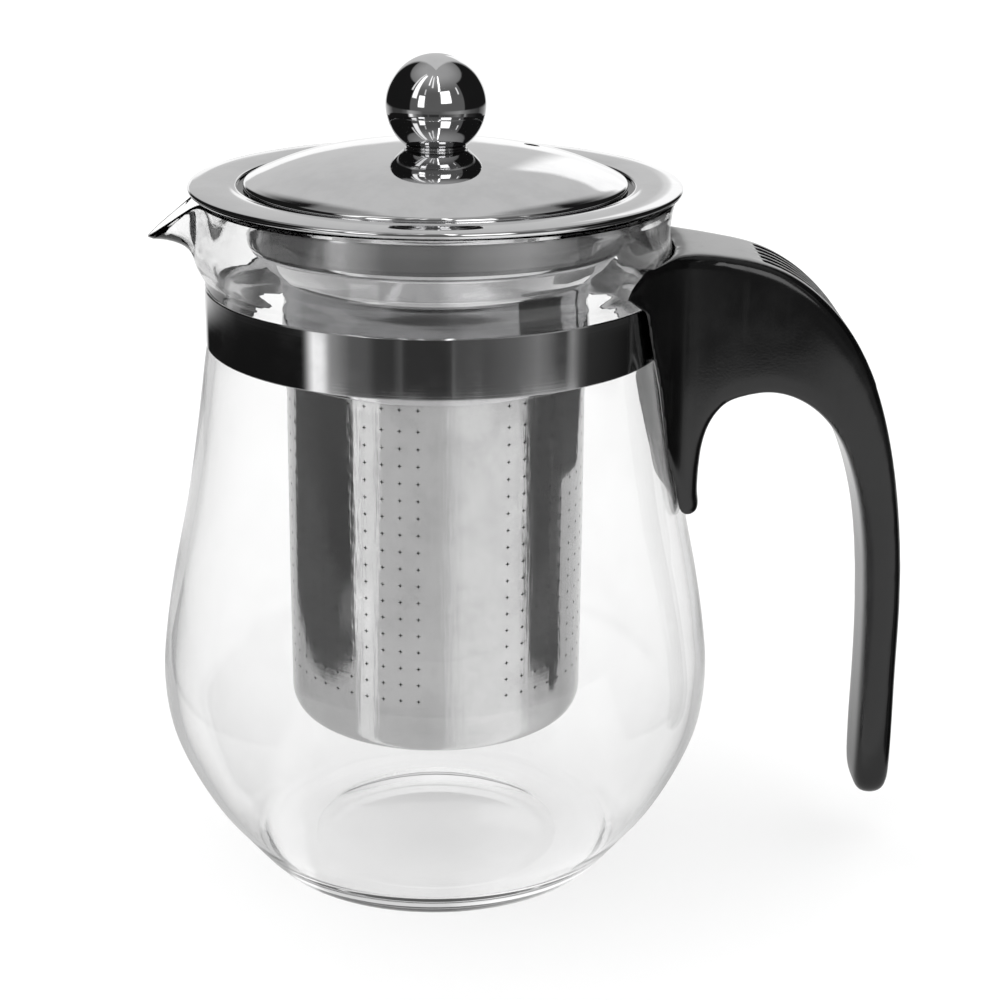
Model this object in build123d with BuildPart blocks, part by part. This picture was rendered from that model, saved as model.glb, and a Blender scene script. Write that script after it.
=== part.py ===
"""Glass teapot with a stainless steel infuser, a lid with a ball knob and a hook handle.

Millimetres. The origin is on the pot's axis at the underside of the glass, +Z up,
+X towards the handle and -X towards the pouring lip.
"""
import os

from build123d import *

# ---------------------------------------------------------------- driving sizes

# Glass body: outline radii and heights from the foot to the rim
BELLY_R = 54.2
FOOT_R = 33.5
GLASS_WALL = 2.0
BASE_THICKNESS = 2.4
RIM_TOP = 134.8
WAIST_R = 43.35
BELLY_CURVE = [
    (37.6, 3.5),
    (45.8, 14.0),
    (50.2, 22.0),
    (53.2, 30.0),
    (BELLY_R, 39.0),
    (53.4, 48.5),
    (51.5, 60.0),
    (48.4, 75.0),
    (46.0, 90.0),
    (44.3, 102.5),
]
NECK_CURVE = [
    (43.9, 118.6),
    (45.2, 122.0),
    (44.4, 127.0),
    (44.6, 131.0),
    (45.2, RIM_TOP - 0.9),
]

# Pouring lip: x of each section, height of its rim, depth of the trough, half width
LIP_SECTIONS = [
    (-38.0, 134.0, 18.0, 16.0),
    (-44.8, 133.5, 11.5, 11.5),
    (-48.5, 132.0, 7.4, 8.5),
    (-51.5, 129.5, 4.4, 6.5),
    (-54.6, 126.6, 1.5, 4.0),
]
LIP_WALL = 1.6

# Neck band
BAND_BOTTOM = 105.9
BAND_TOP = 117.1
BAND_SHEET = 0.55
BAND_R = WAIST_R + BAND_SHEET
EAR_GAP = 3.0
EAR_END = 56.0
EAR_HEIGHT = 9.0

# Handle
HEAD_HALF_WIDTH = 12.0
TAIL_HALF_WIDTH = 7.5
TAIL_INNER_X = 85.3
TAIL_OUTER_X = 92.4
TAIL_BOTTOM = 10.6
GROOVE_COUNT = 5
GROOVE_PITCH = 3.4
GROOVE_WIDTH = 1.5

# Clamp screw across the handle
CLAMP_X = 51.0
CLAMP_Z = 111.5
CLAMP_SCREW_R = 1.5
CLAMP_HEAD_R = 2.8
CLAMP_HEAD_HEIGHT = 2.0
CLAMP_HEAD_SEAT = 7.0
INSERT_R = 2.6
INSERT_LENGTH = 5.0
INSERT_SEAT = 2.3
SCREW_CLEARANCE = 0.2
HEAD_CLEARANCE = 0.3

# Infuser
FLANGE_R = 46.5
FLANGE_TOP = 136.3
FLANGE_INNER_R = 37.7
RIM_SHEET = 0.5
SEAT_TOP = 135.4
COLLAR_R = 35.7
COLLAR_BOTTOM = 126.2
SLEEVE_R = 29.4
SLEEVE_TOP = 119.6
SLEEVE_BOTTOM = 100.6
BASKET_R = 28.85
BASKET_SHEET = 0.4
BASKET_TOP = 113.0
CUP_TOP = 37.0
CUP_BOTTOM = 30.5
CUP_CORNER = 4.5

# Lid
LID_R = 36.2
LID_SHEET = 0.6
LID_EDGE_BOTTOM = 135.55
LID_TOP = 142.85
DOME_CURVE = [
    (35.75, 136.76),
    (33.0, 138.04),
    (29.0, 139.58),
    (24.0, 141.0),
    (18.0, 142.07),
    (12.0, 142.62),
    (5.6, LID_TOP),
]
LOCATING_RING_R = 34.4
LOCATING_RING_BOTTOM = 130.0
LOCATING_RING_SHEET = 0.5
LOCATING_FLANGE = [(34.4, 136.4), (34.1, 136.88), (31.4, 138.05)]
VENT_R = 1.5
VENT_X = 18.3
VENT_Y = 8.2

# Knob
BALL_R = 9.47
BALL_Z = 150.7
BALL_SHEET = 0.8
BALL_SEAM_Z = 149.1
BALL_FOOT_Z = 143.4
KNOB_COLLAR_R = 5.8
KNOB_SCREW_R = 1.95
KNOB_SCREW_HEAD_R = 3.6
KNOB_SCREW_HEAD_HEIGHT = 2.2
KNOB_SCREW_TOP = 148.6
WASHER_R = 4.6
WASHER_THICKNESS = 0.8
NUT_FLATS = 7.0
NUT_HEIGHT = 3.2

os.makedirs("parts", exist_ok=True)


def save(piece, name):
    piece.part.label = name
    export_step(piece.part, f"parts/{name}.step")


def inside(points, wall):
    """The same outline, one wall nearer to the axis."""
    return [(r - wall, z) for r, z in points]


# ---------------------------------------------------------------- glass body

lip_trough = [(x, z, depth - LIP_WALL, width - LIP_WALL) for x, z, depth, width in LIP_SECTIONS[:-1]]
lip_trough.append((-57.0, 126.4, 0.9, 2.4))
LIP_RIM_LINE = [
    (-40.5, 150.0),
    (-40.5, RIM_TOP),
    (-46.3, 132.8),
    (-48.4, 132.1),
    (-50.3, 130.7),
    (-52.3, 128.8),
    (-54.9, 126.4),
    (-60.0, 124.0),
    (-60.0, 150.0),
]

with BuildPart() as glass_body:
    with BuildSketch(Plane.XZ) as glass_outline:
        with BuildLine():
            Line((0, 0), (FOOT_R, 0))
            ThreePointArc((FOOT_R, 0), (35.0, 0.7), (36.0, 1.8))
            Spline((36.0, 1.8), *BELLY_CURVE, tangents=[(1, 1.15), (-0.12, 1)])
            Polyline(BELLY_CURVE[-1], (WAIST_R, BAND_BOTTOM - 0.9), (WAIST_R, BAND_TOP + 0.3))
            Spline((WAIST_R, BAND_TOP + 0.3), *NECK_CURVE)
            ThreePointArc(NECK_CURVE[-1], (44.3, RIM_TOP), (43.4, RIM_TOP - 0.6))
            Polyline((43.4, RIM_TOP - 0.6), (0, RIM_TOP - 0.6), (0, 0))
        make_face()
    revolve(axis=Axis.Z)
    for section_x, rim_z, depth, half_width in LIP_SECTIONS:
        with BuildSketch(Plane.YZ.offset(section_x)):
            with Locations((0, rim_z)):
                Ellipse(half_width, depth)
    loft()
    with BuildSketch(Plane.XZ):
        with BuildLine():
            Polyline((0, BASE_THICKNESS), (31.5, BASE_THICKNESS))
            ThreePointArc((31.5, BASE_THICKNESS), (33.6, 2.9), (35.2, 4.2))
            inner_belly = inside(BELLY_CURVE[1:], GLASS_WALL)
            Spline((35.2, 4.2), *inner_belly)
            Polyline(inner_belly[-1], (WAIST_R - GLASS_WALL, BAND_BOTTOM), (WAIST_R - GLASS_WALL, BAND_TOP))
            inner_neck = inside(NECK_CURVE, GLASS_WALL)
            Spline((WAIST_R - GLASS_WALL, BAND_TOP), *inner_neck)
            Polyline(inner_neck[-1], (inner_neck[-1][0], 150.0), (0, 150.0), (0, BASE_THICKNESS))
        make_face()
    revolve(axis=Axis.Z, mode=Mode.SUBTRACT)
    for section_x, rim_z, depth, half_width in lip_trough:
        with BuildSketch(Plane.YZ.offset(section_x)):
            with Locations((0, rim_z)):
                Ellipse(half_width, depth)
    loft(mode=Mode.SUBTRACT)
    with BuildSketch(Plane.XZ):
        with BuildLine():
            Polyline(*LIP_RIM_LINE, close=True)
        make_face()
    extrude(amount=25.0, both=True, mode=Mode.SUBTRACT)
    with BuildSketch(Plane.XY.offset(RIM_TOP)):
        Circle(70.0)
    extrude(amount=30.0, mode=Mode.SUBTRACT)
save(glass_body, "glass_body")

# ---------------------------------------------------------------- neck band

with BuildPart() as neck_band:
    with BuildSketch(Plane.XY.offset(BAND_BOTTOM)):
        Circle(BAND_R)
        Circle(WAIST_R, mode=Mode.SUBTRACT)
        with Locations((WAIST_R, 0)):
            Rectangle(6.0, EAR_GAP, mode=Mode.SUBTRACT)
    extrude(amount=BAND_TOP - BAND_BOTTOM)
    ear_middle = (BAND_BOTTOM + BAND_TOP) / 2
    with BuildSketch(Plane.XY.offset(ear_middle - EAR_HEIGHT / 2)):
        for side in (-1, 1):
            with Locations((WAIST_R, side * (EAR_GAP + BAND_SHEET) / 2)):
                Rectangle(EAR_END - WAIST_R, BAND_SHEET, align=(Align.MIN, Align.CENTER))
    extrude(amount=EAR_HEIGHT)
    with Locations(Plane(origin=(CLAMP_X, 0, CLAMP_Z), z_dir=(0, 1, 0))):
        Hole(CLAMP_SCREW_R + SCREW_CLEARANCE, depth=2 * EAR_GAP)
save(neck_band, "neck_band")

# ---------------------------------------------------------------- handle

# Back and inside points of each cross-section of the hook, its half width and its edge radius
HOOK_SECTIONS = [
    ((50.0, 124.9), (50.0, 96.0), 12.0, 1.2),
    ((57.0, 123.9), (57.0, 96.6), 12.0, 1.2),
    ((65.5, 121.2), (63.5, 97.8), 12.0, 1.3),
    ((74.5, 114.5), (70.5, 95.6), 11.8, 1.5),
    ((82.0, 103.8), (76.4, 90.0), 11.0, 1.8),
    ((87.4, 89.0), (80.4, 81.9), 9.9, 2.0),
    ((90.6, 73.0), (83.2, 71.0), 8.8, 2.2),
    ((92.2, 56.0), (84.8, 56.0), 8.0, 2.4),
    ((92.4, 36.0), (TAIL_INNER_X, 36.0), 7.6, 2.4),
    ((92.4, 17.0), (TAIL_INNER_X, 17.0), TAIL_HALF_WIDTH, 2.4),
    ((92.1, 13.0), (85.6, 13.0), 6.7, 2.4),
    ((90.6, TAIL_BOTTOM), (87.1, TAIL_BOTTOM), 3.6, 1.4),
]
SEAT_CLEARANCE = 0.15
SLOT_CLEARANCE = 0.4
BORE_LENGTH = 20.0
BORE_START = (Align.CENTER, Align.CENTER, Align.MIN)
BORE_END = (Align.CENTER, Align.CENTER, Align.MAX)
HEAD_BACK_X = 57.0
HEAD_FRONT = (46.0, 125.2)
SADDLE_EDGE = [
    (46.3, 75.2),
    (44.2, 83.0),
    (42.6, 92.0),
    (41.6, 100.0),
    (39.6, 109.0),
    (38.3, 116.6),
]
SADDLE_TIP = (48.4, 73.6)
SADDLE_HEEL = (50.2, 77.5)
SADDLE_REACH = 33.0
CLAW = [
    HEAD_FRONT,
    (37.8, 125.6),
    (34.6, 123.2),
    (33.6, 120.2),
    SADDLE_EDGE[-1],
]
FLARE = [
    (SADDLE_REACH, 31.5),
    (36.0, 28.6),
    (39.0, 24.4),
    (42.0, 19.4),
    (45.0, 15.6),
    (50.0, 13.0),
    (57.0, HEAD_HALF_WIDTH),
]

with BuildPart() as seat_envelope:
    with BuildSketch(Plane.XZ):
        with BuildLine():
            belly_seat = inside(BELLY_CURVE[6:], -SEAT_CLEARANCE)
            neck_seat = inside(NECK_CURVE, -SEAT_CLEARANCE)
            band_seat = BAND_R + SEAT_CLEARANCE
            Polyline((0, 60.0), belly_seat[0])
            Spline(*belly_seat)
            Polyline(belly_seat[-1], (band_seat, BAND_BOTTOM), (band_seat, BAND_TOP), neck_seat[0])
            Spline(*neck_seat)
            Polyline(neck_seat[-1], (0, neck_seat[-1][1]), (0, 60.0))
        make_face()
    revolve(axis=Axis.Z)

with BuildPart() as hook:
    for back, front, half_width, edge_radius in HOOK_SECTIONS:
        middle = Vector((back[0] + front[0]) / 2, 0, (back[1] + front[1]) / 2)
        across = Vector(back[0] - front[0], 0, back[1] - front[1])
        along = Vector(0, 1, 0).cross(across)
        with BuildSketch(Plane(origin=middle, x_dir=(0, 1, 0), z_dir=along)):
            RectangleRounded(2 * half_width, across.length, edge_radius)
    loft()

with BuildPart() as saddle:
    with BuildSketch(Plane.XZ):
        with BuildLine():
            Polyline((HEAD_BACK_X, 97.0), (HEAD_BACK_X, 123.8))
            Spline((HEAD_BACK_X, 123.8), (51.0, 124.8), HEAD_FRONT)
            Polyline(*CLAW)
            Spline(*reversed(SADDLE_EDGE))
            ThreePointArc(SADDLE_EDGE[0], SADDLE_TIP, SADDLE_HEEL)
            Spline(SADDLE_HEEL, (50.4, 84.0), (51.7, 91.0), (HEAD_BACK_X, 97.0))
        make_face()
    extrude(amount=FLARE[0][1] + 1.0, both=True)
    with BuildSketch(Plane.XY.offset(70.0)):
        with BuildLine():
            Polyline((HEAD_BACK_X, 0.0), (SADDLE_REACH, 0.0), FLARE[0])
            Spline(*FLARE)
            Line(FLARE[-1], (HEAD_BACK_X, 0.0))
        make_face()
        mirror(about=Plane.XZ)
    extrude(amount=60.0, mode=Mode.INTERSECT)

with BuildPart() as grooves:
    with BuildSketch(Plane.XZ):
        with BuildLine():
            groove_floor = [(63.5, 121.45), (67.5, 119.55), (73.0, 115.2), (78.0, 109.1), (82.2, 101.8)]
            Spline(*groove_floor)
            groove_start = (61.5, 122.1)
            Polyline(groove_floor[-1], (90.0, 104.0), (75.0, 127.0), (61.5, 127.0), groove_start, groove_floor[0])
        make_face()
    extrude(amount=GROOVE_WIDTH / 2, both=True)

with BuildPart() as handle:
    add(hook.part)
    add(saddle.part)
    add(seat_envelope.part, mode=Mode.SUBTRACT)
    for number in range(GROOVE_COUNT):
        with Locations((0, (number - (GROOVE_COUNT - 1) / 2) * GROOVE_PITCH, 0)):
            add(grooves.part, mode=Mode.SUBTRACT)
    with BuildSketch(Plane.XY.offset(ear_middle - EAR_HEIGHT / 2 - SLOT_CLEARANCE)):
        with Locations((SADDLE_REACH, 0)):
            slot_width = EAR_GAP + 2 * BAND_SHEET + 2 * HEAD_CLEARANCE
            Rectangle(EAR_END + 1.0 - SADDLE_REACH, slot_width, align=(Align.MIN, Align.CENTER))
    extrude(amount=EAR_HEIGHT + 2 * SLOT_CLEARANCE, mode=Mode.SUBTRACT)
    with Locations(Plane(origin=(CLAMP_X, 0, CLAMP_Z), z_dir=(0, 1, 0))):
        screw_hole_r = CLAMP_SCREW_R + SCREW_CLEARANCE
        Cylinder(screw_hole_r, BORE_LENGTH, align=BORE_START, mode=Mode.SUBTRACT)
        Cylinder(INSERT_R, INSERT_SEAT + INSERT_LENGTH, align=BORE_END, mode=Mode.SUBTRACT)
    with Locations(Plane(origin=(CLAMP_X, CLAMP_HEAD_SEAT, CLAMP_Z), z_dir=(0, 1, 0))):
        Cylinder(CLAMP_HEAD_R + HEAD_CLEARANCE, BORE_LENGTH, align=BORE_START, mode=Mode.SUBTRACT)
save(handle, "handle")

# ---------------------------------------------------------------- clamp hardware

with BuildPart() as clamp_screw:
    with BuildSketch(Plane(origin=(CLAMP_X, CLAMP_HEAD_SEAT, CLAMP_Z), z_dir=(0, 1, 0))):
        Circle(CLAMP_HEAD_R)
    extrude(amount=CLAMP_HEAD_HEIGHT)
    fillet(clamp_screw.edges().sort_by(Axis.Y)[-1], radius=0.9)
    with BuildSketch(Plane(origin=(CLAMP_X, CLAMP_HEAD_SEAT, CLAMP_Z), z_dir=(0, 1, 0))):
        Circle(CLAMP_SCREW_R)
    extrude(amount=-(CLAMP_HEAD_SEAT + INSERT_LENGTH + 1.0))
    with BuildSketch(Plane(origin=(CLAMP_X, CLAMP_HEAD_SEAT + CLAMP_HEAD_HEIGHT, CLAMP_Z), z_dir=(0, 1, 0))):
        Rectangle(0.9, 4.0)
        Rectangle(4.0, 0.9)
    extrude(amount=-1.2, mode=Mode.SUBTRACT)
save(clamp_screw, "clamp_screw")

with BuildPart() as threaded_insert:
    with BuildSketch(Plane(origin=(CLAMP_X, -INSERT_SEAT, CLAMP_Z), z_dir=(0, -1, 0))):
        Circle(INSERT_R)
        Circle(CLAMP_SCREW_R, mode=Mode.SUBTRACT)
    extrude(amount=INSERT_LENGTH)
save(threaded_insert, "threaded_insert")

# ---------------------------------------------------------------- infuser

with BuildPart() as infuser_rim:
    with BuildSketch(Plane.XZ):
        with BuildLine():
            Line((FLANGE_R, FLANGE_TOP - 1.1), (FLANGE_R, FLANGE_TOP - 0.4))
            crown = (42.0, FLANGE_TOP + 0.25)
            flange_turn = (FLANGE_R - 0.5, FLANGE_TOP)
            ThreePointArc((FLANGE_R, FLANGE_TOP - 0.4), (FLANGE_R - 0.15, FLANGE_TOP - 0.1), flange_turn)
            Spline(flange_turn, crown, (FLANGE_INNER_R + 0.6, FLANGE_TOP))
            ThreePointArc(
                (FLANGE_INNER_R + 0.6, FLANGE_TOP),
                (FLANGE_INNER_R + 0.1, FLANGE_TOP - 0.25),
                (FLANGE_INNER_R - 0.1, SEAT_TOP + 0.15),
            )
            Polyline(
                (FLANGE_INNER_R - 0.1, SEAT_TOP + 0.15),
                (FLANGE_INNER_R - 0.4, SEAT_TOP),
                (COLLAR_R - RIM_SHEET, SEAT_TOP),
                (COLLAR_R - RIM_SHEET, COLLAR_BOTTOM),
                (SLEEVE_R - RIM_SHEET, SLEEVE_TOP),
                (SLEEVE_R - RIM_SHEET, SLEEVE_BOTTOM),
                (SLEEVE_R, SLEEVE_BOTTOM),
                (SLEEVE_R, SLEEVE_TOP - 0.2),
                (COLLAR_R, COLLAR_BOTTOM - 0.2),
                (COLLAR_R, SEAT_TOP - RIM_SHEET),
                (FLANGE_INNER_R + 0.2, SEAT_TOP - RIM_SHEET),
                (FLANGE_INNER_R + 0.5, SEAT_TOP - RIM_SHEET + 0.3),
            )
            Spline(
                (FLANGE_INNER_R + 0.5, SEAT_TOP - RIM_SHEET + 0.3),
                (FLANGE_INNER_R + 1.1, FLANGE_TOP - RIM_SHEET),
                (crown[0], crown[1] - RIM_SHEET),
                (FLANGE_R - 0.9, FLANGE_TOP - RIM_SHEET),
            )
            Polyline(
                (FLANGE_R - 0.9, FLANGE_TOP - RIM_SHEET),
                (FLANGE_R - RIM_SHEET, FLANGE_TOP - 0.8),
                (FLANGE_R - RIM_SHEET, FLANGE_TOP - 1.1),
                (FLANGE_R, FLANGE_TOP - 1.1),
            )
        make_face()
    revolve(axis=Axis.Z)
save(infuser_rim, "infuser_rim")

with BuildPart() as basket_wall:
    with BuildSketch(Plane.XY.offset(CUP_TOP)):
        Circle(BASKET_R)
        Circle(BASKET_R - BASKET_SHEET, mode=Mode.SUBTRACT)
    extrude(amount=BASKET_TOP - CUP_TOP)
save(basket_wall, "basket_wall")

with BuildPart() as basket_bottom:
    with BuildSketch(Plane.XZ):
        with BuildLine():
            corner = BASKET_R - CUP_CORNER
            turn = CUP_CORNER * 0.2929
            inner_turn = (CUP_CORNER - BASKET_SHEET) * 0.2929
            inner_wall = BASKET_R - BASKET_SHEET
            floor_top = CUP_BOTTOM + BASKET_SHEET
            Line((0, CUP_BOTTOM), (corner, CUP_BOTTOM))
            ThreePointArc(
                (corner, CUP_BOTTOM),
                (BASKET_R - turn, CUP_BOTTOM + turn),
                (BASKET_R, CUP_BOTTOM + CUP_CORNER),
            )
            Polyline((BASKET_R, CUP_BOTTOM + CUP_CORNER), (BASKET_R, CUP_TOP), (inner_wall, CUP_TOP))
            Line((inner_wall, CUP_TOP), (inner_wall, CUP_BOTTOM + CUP_CORNER))
            ThreePointArc(
                (inner_wall, CUP_BOTTOM + CUP_CORNER),
                (inner_wall - inner_turn, floor_top + inner_turn),
                (corner, floor_top),
            )
            Polyline((corner, floor_top), (0, floor_top), (0, CUP_BOTTOM))
        make_face()
    revolve(axis=Axis.Z)
save(basket_bottom, "basket_bottom")

# ---------------------------------------------------------------- lid

with BuildPart() as lid_dome:
    with BuildSketch(Plane.XZ):
        with BuildLine():
            inner_edge = LID_R - LID_SHEET
            dome_edge = DOME_CURVE[0]
            dome_centre = DOME_CURVE[-1]
            underside = [(r, z - LID_SHEET) for r, z in reversed(DOME_CURVE[1:])]
            Line((LID_R, LID_EDGE_BOTTOM), (LID_R, LID_EDGE_BOTTOM + 0.6))
            ThreePointArc((LID_R, LID_EDGE_BOTTOM + 0.6), (LID_R - 0.14, LID_EDGE_BOTTOM + 0.98), dome_edge)
            Spline(*DOME_CURVE)
            Polyline(dome_centre, (0, LID_TOP), (0, LID_TOP - LID_SHEET), underside[0])
            Spline(*underside)
            Polyline(
                underside[-1],
                (inner_edge - 0.7, LID_EDGE_BOTTOM + 0.95),
                (inner_edge, LID_EDGE_BOTTOM + 0.4),
                (inner_edge, LID_EDGE_BOTTOM),
                (LID_R, LID_EDGE_BOTTOM),
            )
        make_face()
    revolve(axis=Axis.Z)
    with Locations((0, 0, LID_TOP)):
        Hole(KNOB_SCREW_R, depth=3 * LID_SHEET)
    with Locations((VENT_X, VENT_Y, LID_TOP)):
        Hole(VENT_R, depth=4 * LID_SHEET)
save(lid_dome, "lid_dome")

with BuildPart() as lid_locating_ring:
    with BuildSketch(Plane.XZ):
        with BuildLine():
            ring_inner = LOCATING_RING_R - LOCATING_RING_SHEET
            flange_under = LOCATING_FLANGE[-1][1] - LOCATING_RING_SHEET
            Polyline(
                (LOCATING_RING_R, LOCATING_RING_BOTTOM + 0.5),
                *LOCATING_FLANGE,
                (LOCATING_FLANGE[-1][0], flange_under),
                (ring_inner, LOCATING_FLANGE[0][1]),
                (ring_inner, LOCATING_RING_BOTTOM + 1.2),
                (ring_inner - 0.5, LOCATING_RING_BOTTOM + 0.3),
                (ring_inner - 0.2, LOCATING_RING_BOTTOM),
                close=True,
            )
        make_face()
    revolve(axis=Axis.Z)
save(lid_locating_ring, "lid_locating_ring")

# ---------------------------------------------------------------- knob

with BuildPart() as knob_collar:
    with BuildSketch(Plane.XY.offset(LID_TOP)):
        Circle(KNOB_COLLAR_R)
        Circle(KNOB_SCREW_R, mode=Mode.SUBTRACT)
    extrude(amount=BALL_FOOT_Z - LID_TOP)
save(knob_collar, "knob_collar")

with BuildPart() as ball_hollow:
    with Locations((0, 0, BALL_Z)):
        Sphere(BALL_R - BALL_SHEET)
    split(bisect_by=Plane.XY.offset(BALL_FOOT_Z + BALL_SHEET), keep=Keep.TOP)

with BuildPart() as ball_shell:
    with Locations((0, 0, BALL_Z)):
        Sphere(BALL_R)
    split(bisect_by=Plane.XY.offset(BALL_FOOT_Z), keep=Keep.TOP)
    add(ball_hollow.part, mode=Mode.SUBTRACT)
    with Locations((0, 0, BALL_FOOT_Z)):
        Cylinder(KNOB_SCREW_R, 4 * BALL_SHEET, mode=Mode.SUBTRACT)

with BuildPart() as knob_ball_top:
    add(ball_shell.part)
    split(bisect_by=Plane.XY.offset(BALL_SEAM_Z), keep=Keep.TOP)
save(knob_ball_top, "knob_ball_top")

with BuildPart() as knob_ball_bottom:
    add(ball_shell.part)
    split(bisect_by=Plane.XY.offset(BALL_SEAM_Z), keep=Keep.BOTTOM)
save(knob_ball_bottom, "knob_ball_bottom")

screw_head_top = LID_TOP - LID_SHEET - WASHER_THICKNESS
nut_bottom = BALL_FOOT_Z + BALL_SHEET

with BuildPart() as knob_screw:
    with BuildSketch(Plane.XY.offset(screw_head_top - KNOB_SCREW_HEAD_HEIGHT)):
        Circle(KNOB_SCREW_HEAD_R)
    extrude(amount=KNOB_SCREW_HEAD_HEIGHT)
    fillet(knob_screw.edges().sort_by(Axis.Z)[0], radius=1.1)
    with BuildSketch(Plane.XY.offset(screw_head_top)):
        Circle(KNOB_SCREW_R)
    extrude(amount=KNOB_SCREW_TOP - screw_head_top)
    with BuildSketch(Plane.XY.offset(screw_head_top - KNOB_SCREW_HEAD_HEIGHT)):
        Rectangle(1.0, 5.0)
        Rectangle(5.0, 1.0)
    extrude(amount=1.3, mode=Mode.SUBTRACT)
save(knob_screw, "knob_screw")

with BuildPart() as knob_washer:
    with BuildSketch(Plane.XY.offset(screw_head_top)):
        Circle(WASHER_R)
        Circle(KNOB_SCREW_R, mode=Mode.SUBTRACT)
    extrude(amount=WASHER_THICKNESS)
save(knob_washer, "knob_washer")

with BuildPart() as knob_nut:
    with BuildSketch(Plane.XY.offset(nut_bottom)):
        RegularPolygon(NUT_FLATS / 2, 6, major_radius=False)
        Circle(KNOB_SCREW_R, mode=Mode.SUBTRACT)
    extrude(amount=NUT_HEIGHT)
save(knob_nut, "knob_nut")
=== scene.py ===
"""Looks of a glass teapot with a steel infuser, a ball-knob lid and a black hook handle.

Sizes in the profiles are millimetres; every mesh is scaled to metres when it becomes a piece.
"""
import math

import bmesh
import bpy
from mathutils import Matrix, Vector


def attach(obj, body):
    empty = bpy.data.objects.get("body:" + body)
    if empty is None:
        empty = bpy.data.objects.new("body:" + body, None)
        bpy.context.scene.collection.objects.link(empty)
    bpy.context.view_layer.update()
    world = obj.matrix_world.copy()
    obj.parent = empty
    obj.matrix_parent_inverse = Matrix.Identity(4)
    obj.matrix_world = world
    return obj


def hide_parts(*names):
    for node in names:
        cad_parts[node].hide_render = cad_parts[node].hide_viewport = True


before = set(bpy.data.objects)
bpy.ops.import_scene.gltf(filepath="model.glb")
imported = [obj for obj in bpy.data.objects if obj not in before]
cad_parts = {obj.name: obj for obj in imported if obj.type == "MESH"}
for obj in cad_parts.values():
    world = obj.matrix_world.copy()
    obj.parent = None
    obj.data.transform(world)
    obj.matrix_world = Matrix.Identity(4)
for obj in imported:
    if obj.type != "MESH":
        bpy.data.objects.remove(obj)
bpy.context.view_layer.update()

MM = 0.001
FULL_TURN = 2 * math.pi

# ---------------------------------------------------------------- sizes shared by the pieces

GLASS_STEPS = 256
METAL_STEPS = 192
GLASS_WALL = 2.0
RIM_TOP = 134.8
BAND_TOP = 117.1
BAND_BOTTOM = 105.9
BAND_R = 43.9
BAND_SHEET = 0.55
EAR_GAP = 3.0
EAR_END = 56.0
EAR_BEND = 1.6
EAR_MIDDLE = 111.5
EAR_NARROWING = 0.86
BASKET_R = 28.85
BASKET_SHEET = 0.4
HOLE_R = 0.46
HOLE_COLUMNS = 53
HOLE_ROWS = 18
ROW_PITCH = 3.344
LOWEST_ROW = 42.2
CUP_TOP = 37.0
BASKET_TOP = 113.0
FIRST_COLUMN = -6.5
BLANK_COLUMNS = 4
TOP_ROW_LIFT = 0.6
BALL_R = 9.47
BALL_Z = 150.7
BALL_SEAM_Z = 149.1
BALL_FOOT_Z = 143.4
BALL_SHEET = 0.8
BALL_STEPS = 128
HANDLE_VOXEL = 0.00045
VOXEL_SOFTENING = 4
HANDLE_SOFTENING = 36
LID_TOP = 142.85
LID_SHEET = 0.6
VENT_R = 1.5
VENT_X = 18.3
VENT_Y = 8.2
PUNCH_LENGTH = 8
DOME = [
    (35.75, 136.76), (34.5, 137.4), (33.0, 138.04), (29.0, 139.58),
    (24.0, 141.0), (18.0, 142.07), (12.0, 142.62), (5.6, LID_TOP),
]


# ---------------------------------------------------------------- shader node helpers

def node(tree, kind, place=(0, 0), **settings):
    """A node of that kind, with its settings made."""
    made = tree.nodes.new(kind)
    made.location = place
    for name, value in settings.items():
        setattr(made, name, value)
    return made


def socket_group(name, inputs, outputs):
    """An empty node group with named value or vector inputs and outputs."""
    tree = bpy.data.node_groups.new(name, "ShaderNodeTree")
    for label, default in inputs:
        kind = "NodeSocketVector" if default is None else "NodeSocketFloat"
        made = tree.interface.new_socket(name=label, in_out="INPUT", socket_type=kind)
        if default is not None:
            made.default_value = default
    for label in outputs:
        tree.interface.new_socket(name=label, in_out="OUTPUT", socket_type="NodeSocketFloat")
    return tree, tree.nodes.new("NodeGroupInput"), tree.nodes.new("NodeGroupOutput")


def maths(tree, operation, a, b=None, clamp=False):
    """A Math node; a and b are sockets or numbers."""
    made = node(tree, "ShaderNodeMath", operation=operation, use_clamp=clamp)
    for slot, value in enumerate((a, b)):
        if value is None:
            continue
        if isinstance(value, (int, float)):
            made.inputs[slot].default_value = value
        else:
            tree.links.new(value, made.inputs[slot])
    return made.outputs[0]


def remap(tree, value, low, high, to_low, to_high, smooth=True):
    """Value from low..high to to_low..to_high, eased and clamped."""
    made = node(tree, "ShaderNodeMapRange", clamp=True)
    made.interpolation_type = "SMOOTHSTEP" if smooth else "LINEAR"
    tree.links.new(value, made.inputs["Value"])
    for label, number in (("From Min", low), ("From Max", high), ("To Min", to_low), ("To Max", to_high)):
        made.inputs[label].default_value = number
    return made.outputs["Result"]


def radius_of(tree, x, y):
    """Distance from the pot's axis."""
    squares = maths(tree, "ADD", maths(tree, "MULTIPLY", x, x), maths(tree, "MULTIPLY", y, y))
    return maths(tree, "SQRT", squares)


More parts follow.
